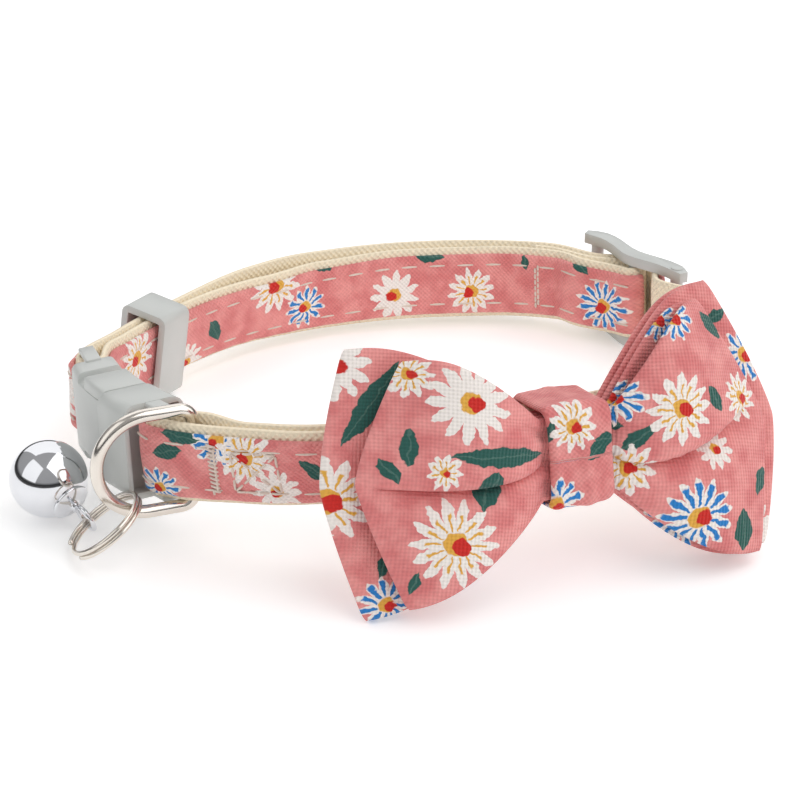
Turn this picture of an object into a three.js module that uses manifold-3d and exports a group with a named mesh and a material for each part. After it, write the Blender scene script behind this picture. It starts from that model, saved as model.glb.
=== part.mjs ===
// Pet bow tie collar, in millimetres, +Z up, standing on its edge on the plane z = 0.
// The strap is one continuous band. It starts sewn round the slider's middle bar, runs along the
// back to the buckle plug, turns back over itself through the keeper loop and the slider, goes
// round the right side and behind the bow, and ends folded round the buckle socket's bar.
import * as THREE from 'three';
import Module from 'manifold-3d';
import { mergeVertices } from 'three/addons/utils/BufferGeometryUtils.js';

const wasm = await Module();
wasm.setup();

// ---------------------------------------------------------------- driving dimensions
const strapWidth = 10;
const webbingThickness = 1;
const coverThickness = 1;
const coverWidth = 9.2;
const coverLift = (webbingThickness + coverThickness) / 2 + 0.1;
const layerPitch = webbingThickness + 0.3;
const foldRadius = 1.5;
const pathStep = 4;
const finePathStep = 1.4;
const fineReach = 11;

const barRadius = 0.58;
const wallGap = 0.2;

const ringWire = 1.6;
const dRing = { height: 12.5, reach: 11.7, cornerRadius: 1.7, swing: 201, barBack: 4.4 };
const splitRing = { wire: 0.7, radius: 4.8, pitch: 0.8, turns: 1.9 };
const bellRadius = 4.75;

const buckle = { height: 12, wall: 0.6, bulge: 1.5 };
const keeper = { length: 5.4, wall: 0.95, clearance: 0.25 };
const slider = { railHeight: 1.4, railThickness: 2.2, barAt: 7.6, overhang: 1.7 };
const knot = { width: 8, thickness: 1 };

const degrees = Math.PI / 180;
const up = new THREE.Vector3(0, 0, 1);

// The strap's outer layer in plan, a row for each bend, clockwise from the buckle plug's bar.
// bottom is the height of the strap's lower edge, lean tips its upper edge outwards.
const loopRows = [
    { name: 'plug bar', x: -39.9, y: -8.0, bottom: 3.5, lean: 0 },
    { name: 'left side', x: -36.6, y: 3.0, bottom: 2.2, lean: -6 },
    { name: 'keeper side', x: -29.2, y: 15.6, bottom: 1.7, lean: -9 },
    { name: 'back left', x: -21.1, y: 25.4, bottom: 1.7, lean: -11 },
    { name: 'back', x: -12.5, y: 31.5, bottom: 1.0, lean: -2 },
    { name: 'back middle', x: 0, y: 35.3, bottom: 0.7, lean: 5 },
    { name: 'back right', x: 12, y: 35.9, bottom: 0.8, lean: 5 },
    { name: 'before the slider', x: 23.6, y: 32.7, bottom: 1.4, lean: 2 },
    { name: 'slider', x: 32.6, y: 26.6, bottom: 1.5, lean: 0 },
    { name: 'after the slider', x: 38.8, y: 15.6, bottom: 2.5, lean: 0 },
    { name: 'right side', x: 41.0, y: 4, bottom: 3.8, lean: 0 },
    { name: 'right front', x: 40.6, y: -7, bottom: 5.4, lean: -1 },
    { name: 'behind the right wing', x: 36.4, y: -17.6, bottom: 7.4, lean: -5 },
    { name: 'right of the knot', x: 28.8, y: -25.3, bottom: 8.3, lean: -13 },
    { name: 'knot', x: 17.6, y: -31.6, bottom: 8.7, lean: -14 },
    { name: 'left of the knot', x: 4.6, y: -34.5, bottom: 8.2, lean: -8 },
    { name: 'front', x: -9.3, y: -35.4, bottom: 7.3, lean: 9 },
    { name: 'front left', x: -18.0, y: -33.2, bottom: 6.4, lean: 5 },
    { name: 'socket bar', x: -28.5, y: -29.2, bottom: 5.6, lean: 0 },
    { name: 'buckle', x: -36.4, y: -19.4, bottom: 4.5, lean: 0 },
];

// ---------------------------------------------------------------- mesh helpers
function meshOf(name, geometry, look) {
    const mesh = new THREE.Mesh(geometry, new THREE.MeshStandardMaterial(look));
    mesh.name = name;
    return mesh;
}

function geometryOf(points, faces) {
    const geometry = new THREE.BufferGeometry();
    const values = points.flatMap((p) => [p.x, p.y, p.z]);
    geometry.setAttribute('position', new THREE.Float32BufferAttribute(values, 3));
    geometry.setIndex(faces.flat());
    return geometry;
}

// Rings of points with the same count, joined in order. The ring turns clockwise when seen
// looking along the path, and closed joins the last ring to the first. Opposite sides of the
// ring are split along matching diagonals, so a twisting band keeps its thickness.
function loft(rings, closed) {
    const count = rings[0].length;
    const faces = [];
    const joins = closed ? rings.length : rings.length - 1;
    for (let i = 0; i < joins; i += 1) {
        const a = i * count;
        const b = ((i + 1) % rings.length) * count;
        for (let j = 0; j < count; j += 1) {
            const k = (j + 1) % count;
            if (j < count / 2) faces.push([a + j, a + k, b + j], [a + k, b + k, b + j]);
            else faces.push([a + j, a + k, b + k], [a + j, b + k, b + j]);
        }
    }
    if (!closed) {
        const last = (rings.length - 1) * count;
        for (let j = 1; j < count - 1; j += 1) {
            faces.push([0, j + 1, j], [last, last + j, last + j + 1]);
        }
    }
    return geometryOf(rings.flat(), faces);
}

function tangentAt(points, i, closed) {
    const n = points.length;
    const before = closed ? points[(i + n - 1) % n] : points[Math.max(i - 1, 0)];
    const after = closed ? points[(i + 1) % n] : points[Math.min(i + 1, n - 1)];
    return after.clone().sub(before).normalize();
}

// A round wire along points that lie about one plane, whose normal is given.
function wireAlong(points, radius, sides, planeNormal, closed) {
    const rings = points.map((point, i) => {
        const tangent = tangentAt(points, i, closed);
        const side = new THREE.Vector3().crossVectors(planeNormal, tangent).normalize();
        const lift = new THREE.Vector3().crossVectors(tangent, side);
        return Array.from({ length: sides }, (_, j) => {
            const angle = (2 * Math.PI * j) / sides;
            return point.clone()
                .addScaledVector(side, radius * Math.cos(angle))
                .addScaledVector(lift, radius * Math.sin(angle));
        });
    });
    return loft(rings, closed);
}

function solidOf(geometry) {
    const bare = geometry.clone();
    bare.deleteAttribute('normal');
    bare.deleteAttribute('uv');
    const merged = mergeVertices(bare, 1e-4);
    return new wasm.Manifold(new wasm.Mesh({
        numProp: 3,
        vertProperties: new Float32Array(merged.attributes.position.array),
        triVerts: new Uint32Array(merged.index.array),
    }));
}

function geometryOfSolid(solid) {
    const mesh = solid.getMesh();
    const geometry = new THREE.BufferGeometry();
    geometry.setAttribute('position', new THREE.Float32BufferAttribute(mesh.vertProperties, 3));
    geometry.setIndex(Array.from(mesh.triVerts));
    return geometry;
}

function joined(geometries) {
    const solids = geometries.map(solidOf);
    return solids.reduce((whole, piece) => whole.add(piece));
}

function eased(t) {
    const c = Math.min(Math.max(t, 0), 1);
    return c * c * (3 - 2 * c);
}

// Reads a table of { at, value } rows with a smooth step between neighbours.
function readTable(rows, at) {
    let value = rows[0].value;
    for (let i = 1; i < rows.length; i += 1) {
        const share = (at - rows[i - 1].at) / (rows[i].at - rows[i - 1].at);
        value += (rows[i].value - rows[i - 1].value) * eased(share);
    }
    return value;
}

// ---------------------------------------------------------------- the loop
const halfWidth = strapWidth / 2;
const loopCurve = new THREE.CatmullRomCurve3(
    loopRows.map((row) => new THREE.Vector3(row.x, row.y, row.bottom + halfWidth)), true, 'centripetal');
loopCurve.arcLengthDivisions = 800;
const loopLength = loopCurve.getLength();

function loopFrame(s) {
    const share = (((s / loopLength) % 1) + 1) % 1;
    const t = loopCurve.getUtoTmapping(share);
    const rowAt = t * loopRows.length;
    const row = Math.floor(rowAt) % loopRows.length;
    const next = (row + 1) % loopRows.length;
    const mix = eased(rowAt - Math.floor(rowAt));
    const lean = loopRows[row].lean + (loopRows[next].lean - loopRows[row].lean) * mix;
    const tangent = loopCurve.getTangent(t).normalize();
    const outward = new THREE.Vector3(-tangent.y, tangent.x, 0).normalize();
    const upward = new THREE.Vector3().crossVectors(tangent, outward);
    const turn = new THREE.Quaternion().setFromAxisAngle(tangent, -lean * degrees);
    return {
        at: loopCurve.getPoint(t),
        tangent,
        outward: outward.applyQuaternion(turn),
        upward: upward.applyQuaternion(turn),
    };
}

function stationOf(rowName) {
    const index = loopRows.findIndex((row) => row.name === rowName);
    const target = new THREE.Vector3(loopRows[index].x, loopRows[index].y, loopRows[index].bottom + halfWidth);
    let best = 0;
    for (let s = 0; s < loopLength; s += 0.1) {
        if (loopFrame(s).at.distanceTo(target) < loopFrame(best).at.distanceTo(target)) best = s;
    }
    return best;
}

function loopPoint(s, offset) {
    const frame = loopFrame(s);
    return frame.at.clone().addScaledVector(frame.outward, offset);
}

const sliderAt = stationOf('slider');
const knotAt = stationOf('knot');
const socketAt = stationOf('socket bar');
const keeperAt = (stationOf('left side') + stationOf('keeper side')) / 2 + 0.4;
const plugAt = 0;
const dBarAt = socketAt - dRing.barBack;

// ---------------------------------------------------------------- the strap's route
// Offsets from the loop, positive outwards. The slider's three bars make the layers weave.
const sliderBarOffset = -1.2;
const underBar = -1.1;
const sewnEndLength = 16;
const frontEndLength = 33;
const backSlack = 2;

const outerOffsets = [
    { at: sliderAt - 14, value: 0 },
    { at: sliderAt - slider.barAt, value: underBar },
    { at: sliderAt, value: sliderBarOffset + foldRadius + layerPitch + 0.15 },
    { at: sliderAt + slider.barAt, value: -2.3 },
    { at: sliderAt + slider.barAt + 7, value: 0 },
];
const innerOffsets = [
    { at: plugAt, value: -2 * foldRadius },
    { at: plugAt + 8, value: -layerPitch },
    { at: keeperAt + 4, value: -layerPitch },
    { at: keeperAt + 26, value: -layerPitch - backSlack },
    { at: sliderAt - sewnEndLength - 12, value: -layerPitch - backSlack },
    { at: sliderAt - sewnEndLength - 1, value: -2 * layerPitch },
    { at: sliderAt - slider.barAt - 4, value: -2 * layerPitch },
    { at: sliderAt - slider.barAt, value: underBar - 2 * layerPitch },
    { at: sliderAt, value: sliderBarOffset - foldRadius },
];
const sewnEndOffsets = [
    { at: sliderAt - 14, value: -layerPitch },
    { at: sliderAt - slider.barAt, value: underBar - layerPitch },
    { at: sliderAt, value: sliderBarOffset + foldRadius },
];
const frontEndOffsets = [
    { at: socketAt - 12, value: -layerPitch },
    { at: dBarAt - 1.2, value: -2 * foldRadius },
    { at: socketAt, value: -2 * foldRadius },
];

// Stops along one layer, closer together where it bends round a bar.
function run(from, to, offsets) {
    const stops = [];
    const heading = Math.sign(to - from);
    let s = from;
    while ((to - s) * heading > finePathStep / 2) {
        stops.push({ s, offset: readTable(offsets, s) });
        const near = [plugAt, sliderAt, socketAt].some((bar) => Math.abs(s - bar) < fineReach);
        s += heading * (near ? finePathStep : pathStep);
    }
    return stops;
}

function fold(at, offset, fromAngle, toAngle) {
    const steps = 8;
    return Array.from({ length: steps + 1 }, (_, i) => {
        const angle = (fromAngle + ((toAngle - fromAngle) * i) / steps) * degrees;
        return { s: at + foldRadius * Math.cos(angle), offset: offset + foldRadius * Math.sin(angle) };
    });
}

const sewnEnd = run(sliderAt - sewnEndLength, sliderAt, sewnEndOffsets);
const sliderFold = fold(sliderAt, sliderBarOffset, 90, -90);
const restOfStrap = [
    ...run(sliderAt - 1, plugAt, innerOffsets),
    ...fold(plugAt, -foldRadius, -90, -270),
    ...run(plugAt + 1, socketAt, outerOffsets),
    ...fold(socketAt, -foldRadius, 90, -90),
    ...run(socketAt - 1, socketAt - frontEndLength, frontEndOffsets),
];

function strapBand(stops, thickness, width, lift) {
    const points = stops.map((stop) => loopPoint(stop.s, stop.offset));
    const rings = points.map((point, i) => {
        const upward = loopFrame(stops[i].s).upward;
        const left = new THREE.Vector3().crossVectors(upward, tangentAt(points, i, false)).normalize();
        const middle = point.clone().addScaledVector(left, lift);
        const corner = (side, rise) => middle.clone()
            .addScaledVector(left, (side * thickness) / 2)
            .addScaledVector(upward, (rise * width) / 2);
        return [corner(1, 1), corner(-1, 1), corner(-1, -1), corner(1, -1)];
    });
    return loft(rings, false);
}

function strapWebbing() {
    const stops = [...sewnEnd, ...sliderFold, ...restOfStrap];
    return strapBand(stops, webbingThickness, strapWidth, 0);
}

function strapCover() {
    const apex = Math.floor(sliderFold.length / 2);
    return strapBand([...sliderFold.slice(apex), ...restOfStrap], coverThickness, coverWidth, coverLift);
}

// ---------------------------------------------------------------- keeper loop
function roundedRect(width, height, radius, Shape = THREE.Shape) {
    const x = width / 2;
    const y = height / 2;
    const shape = new Shape();
    shape.moveTo(-x + radius, -y);
    shape.lineTo(x - radius, -y);
    shape.absarc(x - radius, -y + radius, radius, -Math.PI / 2, 0, false);
    shape.lineTo(x, y - radius);
    shape.absarc(x - radius, y - radius, radius, 0, Math.PI / 2, false);
    shape.lineTo(-x + radius, y);
    shape.absarc(-x + radius, y - radius, radius, Math.PI / 2, Math.PI, false);
    shape.lineTo(-x, -y + radius);
    shape.absarc(-x + radius, -y + radius, radius, Math.PI, 1.5 * Math.PI, false);
    return shape;
}

function prism(shape, depth, steps = 1, curveSegments = 4) {
    const geometry = new THREE.ExtrudeGeometry(shape, { depth, steps, curveSegments, bevelEnabled: false });
    geometry.translate(0, 0, -depth / 2);
    return geometry;
}

// Places a shape drawn in (outward, upward) and extruded along the strap.
function acrossStrap(geometry, s, offset) {
    const frame = loopFrame(s);
    const basis = new THREE.Matrix4().makeBasis(frame.outward, frame.upward, frame.tangent);
    return geometry.applyMatrix4(basis.setPosition(loopPoint(s, offset)));
}

function keeperLoop() {
    const outerFace = coverLift + coverThickness / 2 + keeper.clearance;
    const innerFace = -layerPitch - outerFace;
    const holeWidth = outerFace - innerFace;
    const holeHeight = strapWidth + 2 * keeper.clearance;
    const shape = roundedRect(holeWidth + 2 * keeper.wall, holeHeight + 2 * keeper.wall, 1.1);
    shape.holes.push(roundedRect(holeWidth, holeHeight, 0.3, THREE.Path));
    return acrossStrap(prism(shape, keeper.length), keeperAt, (outerFace + innerFace) / 2);
}

// ---------------------------------------------------------------- slider
// Its rails rise and fall with the bars, in the strap's own offsets.
const sliderRows = [
    { at: -slider.barAt - slider.overhang, value: 1.7 },
    { at: -slider.barAt, value: 1.7 },
    { at: 0, value: sliderBarOffset },
    { at: slider.barAt, value: 0.4 },
    { at: slider.barAt + slider.overhang, value: 0.4 },
];

function sliderRail(height) {
    const ends = slider.barAt + slider.overhang;
    const half = slider.railThickness / 2;
    const stations = Array.from({ length: 15 }, (_, i) => -ends + (2 * ends * i) / 14);
    const edge = (side) => stations.map((at) => {
        const taper = Math.sqrt(1 - 0.7 * Math.abs(at / ends) ** 6);
        const point = loopPoint(sliderAt + at, readTable(sliderRows, at) + side * half * taper);
        return new THREE.Vector2(point.x, point.y);
    });
    const shape = new THREE.Shape([...edge(1).reverse(), ...edge(-1)]);
    const rail = prism(shape, slider.railHeight);
    return rail.translate(0, 0, height);
}

function sliderPost(at, radius) {
    const foot = loopPoint(sliderAt + at, readTable(sliderRows, at));
    const post = new THREE.CylinderGeometry(radius, radius, strapWidth + 2 * slider.railHeight, 12);
    return post.rotateX(Math.PI / 2).translate(foot.x, foot.y, foot.z);
}

function sliderPiece() {
    const middle = loopPoint(sliderAt, 0).z;
    const rise = halfWidth + 0.35 + slider.railHeight / 2;
    const pieces = [sliderRail(middle + rise), sliderRail(middle - rise)];
    pieces.push(sliderPost(-slider.barAt, 0.85), sliderPost(0, barRadius), sliderPost(slider.barAt, 0.85));
    return geometryOfSolid(joined(pieces));
}

// ---------------------------------------------------------------- buckle
// Drawn along the line between its bars: x towards the plug end, y outwards, z up.
const socketBar = loopPoint(socketAt, -foldRadius);
const plugBar = loopPoint(plugAt, -foldRadius);
const buckleAxis = plugBar.clone().sub(socketBar).normalize();
const buckleMiddle = plugBar.clone().add(socketBar).multiplyScalar(0.5);
const halfSpan = plugBar.distanceTo(socketBar) / 2;
const halfHeight = buckle.height / 2;
const pocketHalf = foldRadius + coverLift + coverThickness / 2 + wallGap;
const shellHalf = pocketHalf + buckle.wall;
const plugHalf = shellHalf - 1;
const pocketWall = halfSpan - pocketHalf - 0.1;

function block(x0, x1, y0, y1, z0, z1, radius = 0.4) {
    const shape = roundedRect(y1 - y0, z1 - z0, radius);
    const geometry = prism(shape, x1 - x0, Math.max(1, Math.ceil((x1 - x0) / 3.5)), 2);
    geometry.applyMatrix4(new THREE.Matrix4().makeBasis(
        new THREE.Vector3(0, 1, 0), up, new THREE.Vector3(1, 0, 0)));
    return geometry.translate((x0 + x1) / 2, (y0 + y1) / 2, (z0 + z1) / 2);
}

function crossBar(x) {
    const bar = new THREE.CylinderGeometry(barRadius, barRadius, strapWidth + 1.2, 12);
    return bar.rotateX(Math.PI / 2).translate(x, 0, 0);
}

// The buckle follows the neck: its middle stands out from the line between its bars.
function placedBuckle(solid) {
    const geometry = geometryOfSolid(solid);
    const position = geometry.attributes.position;
    for (let i = 0; i < position.count; i += 1) {
        const share = Math.min(Math.abs(position.getX(i)) / halfSpan, 1);
        position.setY(i, position.getY(i) + buckle.bulge * (1 - share * share));
    }
    const upward = new THREE.Vector3().crossVectors(buckleAxis, new THREE.Vector3()
        .crossVectors(up, buckleAxis).normalize());
    const outward = new THREE.Vector3().crossVectors(upward, buckleAxis);
    const basis = new THREE.Matrix4().makeBasis(buckleAxis, outward, upward);
    return geometry.applyMatrix4(basis.setPosition(buckleMiddle));
}

function endRail(sign, side) {
    const z0 = side > 0 ? halfWidth + 0.25 : -halfWidth - 0.95;
    const x0 = pocketWall - 0.6;
    const x1 = halfSpan + 0.8;
    return sign > 0 ? block(x0, x1, -1, 1, z0, z0 + 0.7, 0.2) : block(-x1, -x0, -1, 1, z0, z0 + 0.7, 0.2);
}

const mouth = -4;

function buckleSocket() {
    const back = -halfSpan + 1.6;
    const shell = solidOf(block(back, mouth, -shellHalf, shellHalf, -halfHeight, halfHeight, 1.6));
    const pocket = block(back - 1, -pocketWall, -pocketHalf, pocketHalf, -halfWidth - 0.2, halfWidth + 0.2, 0.3);
    const mouthHole = block(-pocketWall + 0.7, mouth + 1, -2.6, 2.6, -halfHeight + 0.75, halfHeight - 0.75, 0.5);
    const body = shell.subtract(solidOf(pocket)).subtract(solidOf(mouthHole));
    const rails = [endRail(-1, 1), endRail(-1, -1), crossBar(-halfSpan)];
    return placedBuckle(rails.map(solidOf).reduce((whole, rail) => whole.add(rail), body));
}

function plugProng(side) {
    const shoulder = halfHeight;
    const z = (low, high) => (side > 0 ? [low, high] : [-high, -low]);
    return [
        block(mouth + 0.3, 2.2, -2.9, 2.9, ...z(shoulder - 1.9, shoulder), 0.6),
        block(-6.4, mouth + 1, -2.2, 2.2, ...z(shoulder - 2.4, shoulder - 1.05), 0.4),
        block(1.4, 5.2, -1.6, 1.2, ...z(shoulder - 2.5, shoulder - 1.5), 0.3),
    ];
}

function bucklePlug() {
    const base = pocketWall;
    const pieces = [
        block(base - 3.4, base, -plugHalf, plugHalf, -halfHeight + 0.3, halfHeight - 0.3, 0.9),
        block(mouth + 0.3, base - 1, 1.6, plugHalf, -halfHeight + 1.4, halfHeight - 1.4, 0.4),
        block(-6.4, base - 1, -1.4, 2.3, -2.2, 2.2, 0.5),
        endRail(1, 1),
        endRail(1, -1),
        crossBar(halfSpan),
        ...plugProng(1),
        ...plugProng(-1),
    ];
    return placedBuckle(joined(pieces));
}

// ---------------------------------------------------------------- D-ring, split ring and bell
const dBar = loopPoint(dBarAt, -foldRadius);
const dAim = new THREE.Vector3(Math.cos(dRing.swing * degrees), Math.sin(dRing.swing * degrees), 0);

function arcPoints(centreReach, centreRise, radius, fromAngle, toAngle, steps) {
    return Array.from({ length: steps + 1 }, (_, i) => {
        const angle = (fromAngle + ((toAngle - fromAngle) * i) / steps) * degrees;
        return [centreReach + radius * Math.cos(angle), centreRise + radius * Math.sin(angle)];
    });
}

function dRingPiece() {
    const half = (dRing.height) / 2;
    const bow = dRing.reach - half;
    const corner = dRing.cornerRadius;
    const outline = [
        ...arcPoints(bow, 0, half, -90, 90, 18),
        ...arcPoints(corner, half - corner, corner, 90, 180, 4),
        [0, 0],
        ...arcPoints(corner, corner - half, corner, 180, 270, 4),
    ];
    const points = outline.map(([reach, rise]) => dBar.clone().addScaledVector(dAim, reach).addScaledVector(up, rise));
    const normal = new THREE.Vector3().crossVectors(dAim, up);
    return wireAlong(points, ringWire / 2, 12, normal, true);
}

// The split ring leans: one side is up on the D-ring's lower bow, the other is near the table.
const ringSteep = new THREE.Vector3(0.8, 0.1, 0.59).normalize();
const ringNormal = new THREE.Vector3(-0.58, 0, 0.81).normalize();
const ringAcross = new THREE.Vector3().crossVectors(ringNormal, ringSteep).normalize();
const footReach = 8.4;
const footDrop = Math.sqrt((dRing.height / 2) ** 2 - (footReach - dRing.reach + dRing.height / 2) ** 2);
const dRingFoot = dBar.clone().addScaledVector(dAim, footReach).addScaledVector(up, -footDrop);
const ringCentre = dRingFoot.clone().addScaledVector(ringSteep, -(splitRing.radius - 1.7));

function ringPoint(angle, rise) {
    return ringCentre.clone()
        .addScaledVector(ringSteep, splitRing.radius * Math.cos(angle))
        .addScaledVector(ringAcross, splitRing.radius * Math.sin(angle))
        .addScaledVector(ringNormal, rise);
}

function splitRingPiece() {
    const steps = 44;
    const start = 195 * degrees;
    const points = Array.from({ length: steps + 1 }, (_, i) => {
        const turn = (splitRing.turns * i) / steps - splitRing.turns / 2;
        return ringPoint(start + 2 * Math.PI * turn, splitRing.pitch * turn);
    });
    return wireAlong(points, splitRing.wire / 2, 8, ringNormal, false);
}

const tabHole = 1.35;
const tabAngle = 122 * degrees;
const bellCentre = new THREE.Vector3(-42.1, -24.2, bellRadius + 0.25);

function bellPiece() {
    const hung = ringPoint(tabAngle, 0);
    const aim = hung.clone().sub(bellCentre);
    const distance = aim.length();
    aim.normalize();
    const along = ringPoint(tabAngle + 0.1, 0).sub(hung).normalize();
    const through = along.clone().addScaledVector(aim, -along.dot(aim)).normalize();
    const across = new THREE.Vector3().crossVectors(through, aim);
    const loop = new THREE.TorusGeometry(tabHole + 0.3, 0.3, 6, 20);
    loop.scale(1, 1, 1.8);
    const basis = new THREE.Matrix4().makeBasis(aim, across, new THREE.Vector3().crossVectors(aim, across));
    loop.applyMatrix4(basis.clone().setPosition(bellCentre.clone().addScaledVector(aim, distance - 0.75)));
    const ball = new THREE.SphereGeometry(bellRadius, 28, 16);
    ball.translate(bellCentre.x, bellCentre.y, bellCentre.z);
    const flange = new THREE.CylinderGeometry(1.5, 1.9, 0.7, 12);
    flange.rotateZ(-Math.PI / 2);
    flange.applyMatrix4(basis.clone().setPosition(bellCentre.clone().addScaledVector(aim, bellRadius - 0.1)));
    const stemLength = distance - tabHole - bellRadius;
    const stem = new THREE.CylinderGeometry(0.55, 0.55, stemLength, 8).rotateZ(-Math.PI / 2);
    stem.applyMatrix4(basis.clone().setPosition(bellCentre.clone().addScaledVector(aim, bellRadius + stemLength / 2 - 0.9)));
    const slot = new THREE.BoxGeometry(3, 1.0, bellRadius * 1.5);
    slot.applyMatrix4(basis.clone().setPosition(bellCentre.clone().addScaledVector(aim, -bellRadius)));
    return geometryOfSolid(joined([ball, flange, stem, loop]).subtract(solidOf(slot)));
}

// ---------------------------------------------------------------- bow
// Each layer is a belt of cloth folded at both outer ends and pinched in its middle, so each
// wing is a flat sleeve that is open above and below. The bow is drawn in its own frame at the
// knot: x along the bow, y back towards the strap, z up its leaning face.
const clothThickness = 1;
const sheetHalfGap = 0.65;
const pinchHalf = 4.7;
const pinchReach = knot.width / 2 + 0.6;
const bowRows = [-1, -0.75, -0.45, -0.2, 0, 0.2, 0.45, 0.75, 1];
const bowSteps = 52;
const bowFacing = 19;

// length, rise and fall are the wing's reach from the knot, drawnUp and drawnDown how far its
// corners fall short of that, sweep and lean the angles its end turns back by, flareUp and
// flareDown how soon its edges open out from the pinch.
const bowLayers = {
    front: {
        behind: 0, fan: 0, puffFront: 3.2, puffBack: 0.1, crease: 1, edgeBend: 1.25,
        left: {
            length: 25.5, rise: 12.9, fall: 14.6, drawnUp: 7, drawnDown: 4,
            sweep: 3, lean: 11, flareUp: 2.6, flareDown: 1.8,
        },
        right: {
            length: 25.1, rise: 14.9, fall: 15.3, drawnUp: 6, drawnDown: 4,
            sweep: 10.5, lean: 14, flareUp: 2.4, flareDown: 2.4,
        },
    },
    back: {
        behind: 2.9, fan: 0.5, puffFront: 0, puffBack: 0.6, crease: 0.2, edgeBend: 1.35,
        left: {
            length: 28.8, rise: 14.9, fall: 15.2, drawnUp: 4.9, drawnDown: 2.9,
            sweep: 0.5, lean: 11, flareUp: 2.1, flareDown: 1.9,
        },
        right: {
            length: 28.5, rise: 16.8, fall: 14.7, drawnUp: 5.7, drawnDown: 4.4,
            sweep: 9, lean: 14, flareUp: 2.3, flareDown: 2.2,
        },
    },
};

const strapFront = coverLift + coverThickness / 2;
const frontSpine = strapFront + 0.7 + bowLayers.back.behind + sheetHalfGap + clothThickness / 2;
const knotFrame = loopFrame(knotAt);
const bowAlong = new THREE.Vector3(Math.cos(bowFacing * degrees), Math.sin(bowFacing * degrees), 0);
const bowBack = knotFrame.outward.clone().negate();
const bowUp = new THREE.Vector3().crossVectors(bowAlong, bowBack).normalize();
const bowCentre = loopPoint(knotAt, frontSpine);

function inBowFrame(x, y, z) {
    return bowCentre.clone().addScaledVector(bowAlong, x).addScaledVector(bowBack, y).addScaledVector(bowUp, z);
}

function spineAt(sweep, distance) {
    const steps = 10;
    const step = distance / steps;
    const angleAt = (along) => sweep * Math.tanh(along / 12) * degrees;
    const spine = { along: 0, back: 0, angle: angleAt(distance) };
    for (let i = 0; i < steps; i += 1) {
        const angle = angleAt((i + 0.5) * step);
        spine.along += Math.cos(angle) * step;
        spine.back += Math.sin(angle) * step;
    }
    return spine;
}

function bowPoint(layer, turn, v) {
    const side = Math.cos(turn) < 0 ? -1 : 1;
    const wing = side < 0 ? layer.left : layer.right;
    const reach = Math.abs(Math.cos(turn));
    const drawn = v > 0 ? wing.drawnUp : wing.drawnDown;
    const length = wing.length - drawn * Math.abs(v) ** layer.edgeBend * eased(reach);
    const distance = reach * length;
    const open = Math.max(0, (distance - pinchReach) / (length - pinchReach));
    const flare = 1 - (1 - open) ** (v > 0 ? wing.flareUp : wing.flareDown);
    const rise = v * (pinchHalf + ((v > 0 ? wing.rise : wing.fall) - pinchHalf) * flare);
    const puff = Math.sin(Math.PI * open ** 0.75) * (1 - 0.45 * v * v);
    const valley = Math.exp(-((v / 0.22) ** 2)) * layer.crease * Math.sin(Math.PI * Math.min(open + 0.12, 1)) ** 0.6;
    const front = Math.sin(turn) > 0;
    const swell = front ? layer.puffFront * puff * (1 - valley) - 0.25 * valley : layer.puffBack * puff;
    const closing = Math.sqrt(1 - reach ** 10);
    const room = (sheetHalfGap + swell) * closing;
    const depth = (front ? -1 : 1) * room + layer.behind + layer.fan * open;
    const spine = spineAt(wing.sweep, distance);
    const lean = wing.lean * eased(distance / 22) * degrees;
    const back = depth * Math.cos(lean) + rise * Math.sin(lean);
    const point = inBowFrame(
        side * (spine.along - Math.sin(spine.angle) * back),
        spine.back + Math.cos(spine.angle) * back,
        rise * Math.cos(lean) - depth * Math.sin(lean));
    return { point, room };
}

// Each layer is a flattened sleeve. Its inner face stays short of the middle where the sleeve closes.
const insideShare = 0.75;

function bowLayer(layer) {
    const middle = Array.from({ length: bowSteps }, (_, i) => {
        const turn = (2 * Math.PI * (i + 0.5)) / bowSteps;
        return bowRows.map((v) => bowPoint(layer, turn, v));
    });
    const rings = middle.map((column, i) => {
        const before = middle[(i + bowSteps - 1) % bowSteps];
        const after = middle[(i + 1) % bowSteps];
        const shifted = (offset) => column.map(({ point, room }, j) => {
            const along = after[j].point.clone().sub(before[j].point);
            const lower = column[Math.max(j - 1, 0)].point;
            const upper = column[Math.min(j + 1, column.length - 1)].point;
            const normal = new THREE.Vector3().crossVectors(along, upper.clone().sub(lower)).normalize();
            return point.clone().addScaledVector(normal, offset(room));
        });
        const outside = shifted(() => -clothThickness / 2);
        const inside = shifted((room) => Math.min(clothThickness / 2, room * insideShare));
        return [...outside, ...inside.reverse()];
    });
    return loft(rings, true);
}

// The knot is a band of cloth round the bow's middle and the strap behind it.
function bowKnot() {
    const front = sheetHalfGap + clothThickness / 2 + 0.35;
    const behind = frontSpine + webbingThickness / 2 + 0.35;
    const strapHalf = halfWidth + 0.5;
    const rows = [
        { back: -front, rise: 0 },
        { back: -front, rise: pinchHalf - 0.4 },
        { back: -front * 0.6, rise: pinchHalf + 0.5 },
        { back: behind * 0.4, rise: pinchHalf + 0.5 },
        { back: behind, rise: strapHalf },
        { back: behind, rise: 0 },
        { back: behind, rise: -strapHalf },
        { back: behind * 0.4, rise: -pinchHalf - 0.5 },
        { back: -front * 0.6, rise: -pinchHalf - 0.5 },
        { back: -front, rise: -pinchHalf + 0.4 },
    ];
    const path = rows.map((row) => inBowFrame(0, row.back, row.rise));
    const rings = path.map((point, i) => {
        const outward = new THREE.Vector3().crossVectors(bowAlong, tangentAt(path, i, true)).normalize();
        const corner = (side, rise) => point.clone()
            .addScaledVector(bowAlong, (side * knot.width) / 2)
            .addScaledVector(outward, rise * knot.thickness);
        return [corner(-1, 0), corner(-1, 1), corner(1, 1), corner(1, 0)];
    });
    return loft(rings, true);
}

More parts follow.
